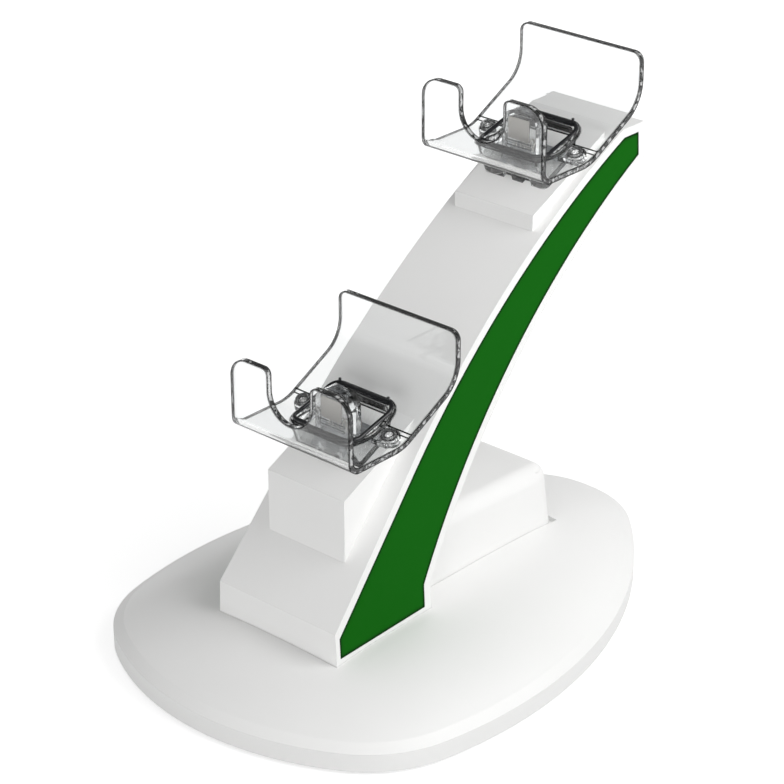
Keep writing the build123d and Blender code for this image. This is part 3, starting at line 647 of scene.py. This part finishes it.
bead_radius = 0.0009
bead_lift = 0.0006
bead_half_width = 0.0159
bead_front = 0.0085
bead_back = 0.0329
bead_corner = 0.0042
corner_steps = 8
bar_radius = 0.0014
bar_setback = 0.0004
bar_rise = 0.2 * bar_radius
bar_end = bead_half_width - 0.7 * bead_corner
seal_flatness = 0.8
peg_radius = 0.0006
peg_height = 0.0022
peg_inset = 0.0006
rim_height = 0.0033
bend_start = 0.01661
bend_radius = 0.02
bend_angle = math.radians(28)


def rim_top(y):
    """Height of the rim's top above the pedestal's front edge, at a distance behind that edge."""
    reach = bend_radius - rim_height
    end_y = bend_start + reach * math.sin(bend_angle)
    top = cradle_floor_height + bend_radius
    if y < bend_start:
        return top - reach
    if y < end_y:
        return top - math.sqrt(reach**2 - (y - bend_start) ** 2)
    return top - reach * math.cos(bend_angle) + (y - end_y) * math.tan(bend_angle)


def silicone(name, colour, roughness):
    """Silicone: a smooth, nearly black skin, whose gloss is broken in small clouds by handling."""
    cloud_mm = 3
    material, tree = blank_material(name)
    place = put(tree, "ShaderNodeTexCoord")
    cloud = put(
        tree,
        "ShaderNodeTexNoise",
        {"Vector": place.outputs["Object"], "Scale": 1000 / cloud_mm, "Detail": 2.0},
    )
    skin = put(
        tree,
        "ShaderNodeMapRange",
        {"Value": cloud.outputs["Fac"], "To Min": roughness - 0.06, "To Max": roughness + 0.1},
    )
    surface = put(
        tree,
        "ShaderNodeBsdfPrincipled",
        {"Base Color": linear(colour), "Roughness": skin.outputs["Result"], "IOR": 1.43},
    )
    put(tree, "ShaderNodeOutputMaterial", {"Surface": surface.outputs["BSDF"]})
    return material


dark_silicone = silicone("dark glossy silicone", "#1C1D1F", roughness=0.16)
for tier in tiers:
    seat = seats[tier]
    loop = []
    corners = (
        (bead_half_width - bead_corner, bead_front + bead_corner, -90),
        (bead_half_width - bead_corner, bead_back - bead_corner, 0),
        (bead_corner - bead_half_width, bead_back - bead_corner, 90),
        (bead_corner - bead_half_width, bead_front + bead_corner, 180),
    )
    for x, y, first in corners:
        for step in range(corner_steps + 1):
            turn = math.radians(first + 90 * step / corner_steps)
            across = x + bead_corner * math.cos(turn)
            along = y + bead_corner * math.sin(turn)
            loop.append((across, seat.y + along, seat.z + rim_top(along) + bead_lift))
    bead = grow(
        f"{tier}_opening_seal",
        loop,
        True,
        wire_tree,
        {"Radius": bead_radius, "Flatness": seal_flatness, "Material": dark_silicone},
    )
    for face in bead.data.polygons:
        face.use_smooth = True
    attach(bead, "root")
    bar_y = seat.y + bead_back - bar_setback
    bar_z = seat.z + rim_top(bead_back) + bar_rise
    bar = grow(
        f"{tier}_opening_seal_bar",
        [(-bar_end, bar_y, bar_z), (bar_end, bar_y, bar_z)],
        False,
        wire_tree,
        {"Radius": bar_radius, "Flatness": seal_flatness, "Material": dark_silicone},
    )
    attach(bar, "root")
    peg_x = bar_end - peg_inset
    pegs = grow(
        f"{tier}_opening_seal_pegs",
        [(-peg_x, bar_y, bar_z), (-peg_x, bar_y, bar_z + peg_height)],
        False,
        row_tree,
        {"Count": 2, "Pitch": 2 * peg_x, "Radius": peg_radius, "Material": dark_silicone},
    )
    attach(pegs, "root")

# Studio: a pale floor, a white surround that glass and gloss see too, and
# soft lamps, the strongest on the right. The camera stands as in the photo.


def seen_white(tree):
    """1 for rays that should meet the plain white surround: camera, gloss and glass."""
    rays = put(tree, "ShaderNodeLightPath")
    gloss = put(
        tree,
        "ShaderNodeMath",
        {0: rays.outputs["Is Camera Ray"], 1: rays.outputs["Is Glossy Ray"]},
        operation="MAXIMUM",
    )
    return put(
        tree,
        "ShaderNodeMath",
        {0: gloss.outputs["Value"], 1: rays.outputs["Is Transmission Ray"]},
        operation="MAXIMUM",
    ).outputs["Value"]


floor_radius = 4.0
floor_drop = 0.0001
floor_mesh = bpy.data.meshes.new("studio_floor")
floor_shape = bmesh.new()
bmesh.ops.create_circle(floor_shape, cap_ends=True, segments=96, radius=floor_radius)
floor_shape.to_mesh(floor_mesh)
floor_shape.free()
floor_mesh.transform(Matrix.Translation((0, 0, -floor_drop)))
floor = bpy.data.objects.new("studio_floor", floor_mesh)
bpy.context.collection.objects.link(floor)
floor_paint, floor_tree = blank_material("pale studio floor")
floor_face = put(floor_tree, "ShaderNodeBsdfDiffuse", {"Color": (0.5, 0.5, 0.5, 1), "Roughness": 0.0})
floor_place = put(floor_tree, "ShaderNodeTexCoord")
floor_reach = put(
    floor_tree,
    "ShaderNodeVectorMath",
    {0: floor_place.outputs["Object"]},
    operation="LENGTH",
)
floor_level = put(
    floor_tree,
    "ShaderNodeMapRange",
    {
        "Value": floor_reach.outputs["Value"],
        "From Min": 0.25,
        "From Max": 0.7,
        "To Min": 0.72,
        "To Max": 0.88,
    },
)
floor_glow = put(
    floor_tree,
    "ShaderNodeEmission",
    {"Color": (1, 1, 1, 1), "Strength": floor_level.outputs["Result"]},
)
floor_none = put(floor_tree, "ShaderNodeEmission", {"Color": (1, 1, 1, 1), "Strength": 0.0})
floor_lift = put(
    floor_tree,
    "ShaderNodeMixShader",
    {0: seen_white(floor_tree), 1: floor_none.outputs["Emission"], 2: floor_glow.outputs["Emission"]},
)
floor_sum = put(
    floor_tree,
    "ShaderNodeAddShader",
    {0: floor_face.outputs["BSDF"], 1: floor_lift.outputs["Shader"]},
)
put(floor_tree, "ShaderNodeOutputMaterial", {"Surface": floor_sum.outputs["Shader"]})
floor_mesh.materials.append(floor_paint)
floor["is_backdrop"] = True

world = bpy.data.worlds.new("white studio surround")
world.use_nodes = True
sky = world.node_tree
sky.nodes.clear()
aim = put(sky, "ShaderNodeTexCoord")
aim_axes = put(sky, "ShaderNodeSeparateXYZ", {"Vector": aim.outputs["Generated"]})
ceiling = put(
    sky,
    "ShaderNodeMapRange",
    {"Value": aim_axes.outputs["Z"], "From Min": 0.15, "From Max": 0.45, "To Min": 1.0, "To Max": 0.15},
)
rays = put(sky, "ShaderNodeLightPath")
level = put(
    sky,
    "ShaderNodeMath",
    {0: ceiling.outputs["Result"], 1: rays.outputs["Is Camera Ray"]},
    operation="MAXIMUM",
)
surround = put(sky, "ShaderNodeBackground", {"Color": (1, 1, 1, 1), "Strength": level.outputs["Value"]})
ambient = put(sky, "ShaderNodeBackground", {"Color": (1, 1, 1, 1), "Strength": 0.35})
choice = put(
    sky,
    "ShaderNodeMixShader",
    {0: seen_white(sky), 1: ambient.outputs["Background"], 2: surround.outputs["Background"]},
)
put(sky, "ShaderNodeOutputWorld", {"Surface": choice.outputs["Shader"]})
bpy.context.scene.world = world


def softbox(name, place, target, width, power):
    """A square soft lamp that faces a point of the dock."""
    lamp = bpy.data.lights.new(name, "AREA")
    lamp.shape = "SQUARE"
    lamp.size = width
    lamp.energy = power
    holder = bpy.data.objects.new(name, lamp)
    holder.location = place
    holder.rotation_mode = "QUATERNION"
    holder.rotation_quaternion = (Vector(target) - Vector(place)).to_track_quat("-Z", "Y")
    bpy.context.collection.objects.link(holder)


softbox("key softbox right", (0.45, 0.12, 0.45), (0, 0.02, 0.05), 0.4, 2.7)
softbox("fill softbox front", (0.45, -1.2, 0.12), (0, 0, 0.08), 0.7, 10.0)
softbox("rim softbox back", (-0.1, 1.0, 0.5), (0, 0, 0.05), 0.6, 1.6)
softbox("fill softbox left", (-1.0, 0.6, 0.04), (0, 0, 0.1), 0.6, 2.2)

sensor_mm = 36
focal_pixels = 2696.78
photo_pixels = 784
camera_place = Vector((0.61954, -0.69363, 0.55362))
azimuth, elevation, roll = (math.radians(a) for a in (42.12, 26.16, -0.17))
back = Vector(
    (
        math.sin(azimuth) * math.cos(elevation),
        -math.cos(azimuth) * math.cos(elevation),
        math.sin(elevation),
    )
)
level_line = Vector((math.cos(azimuth), math.sin(azimuth), 0))
upright = back.cross(level_line)
across = level_line * math.cos(roll) + upright * math.sin(roll)
upwards = upright * math.cos(roll) - level_line * math.sin(roll)
lens = bpy.data.cameras.new("camera at the photo angle")
lens.lens = sensor_mm * focal_pixels / photo_pixels
lens.sensor_width = sensor_mm
lens.clip_start = 0.01
lens.clip_end = 20
camera = bpy.data.objects.new("camera at the photo angle", lens)
turn = Matrix((across, upwards, back)).transposed().to_4x4()
camera.matrix_world = Matrix.Translation(camera_place) @ turn
bpy.context.collection.objects.link(camera)
bpy.context.scene.camera = camera
bpy.context.scene.view_settings.view_transform = "Standard"

low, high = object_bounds()
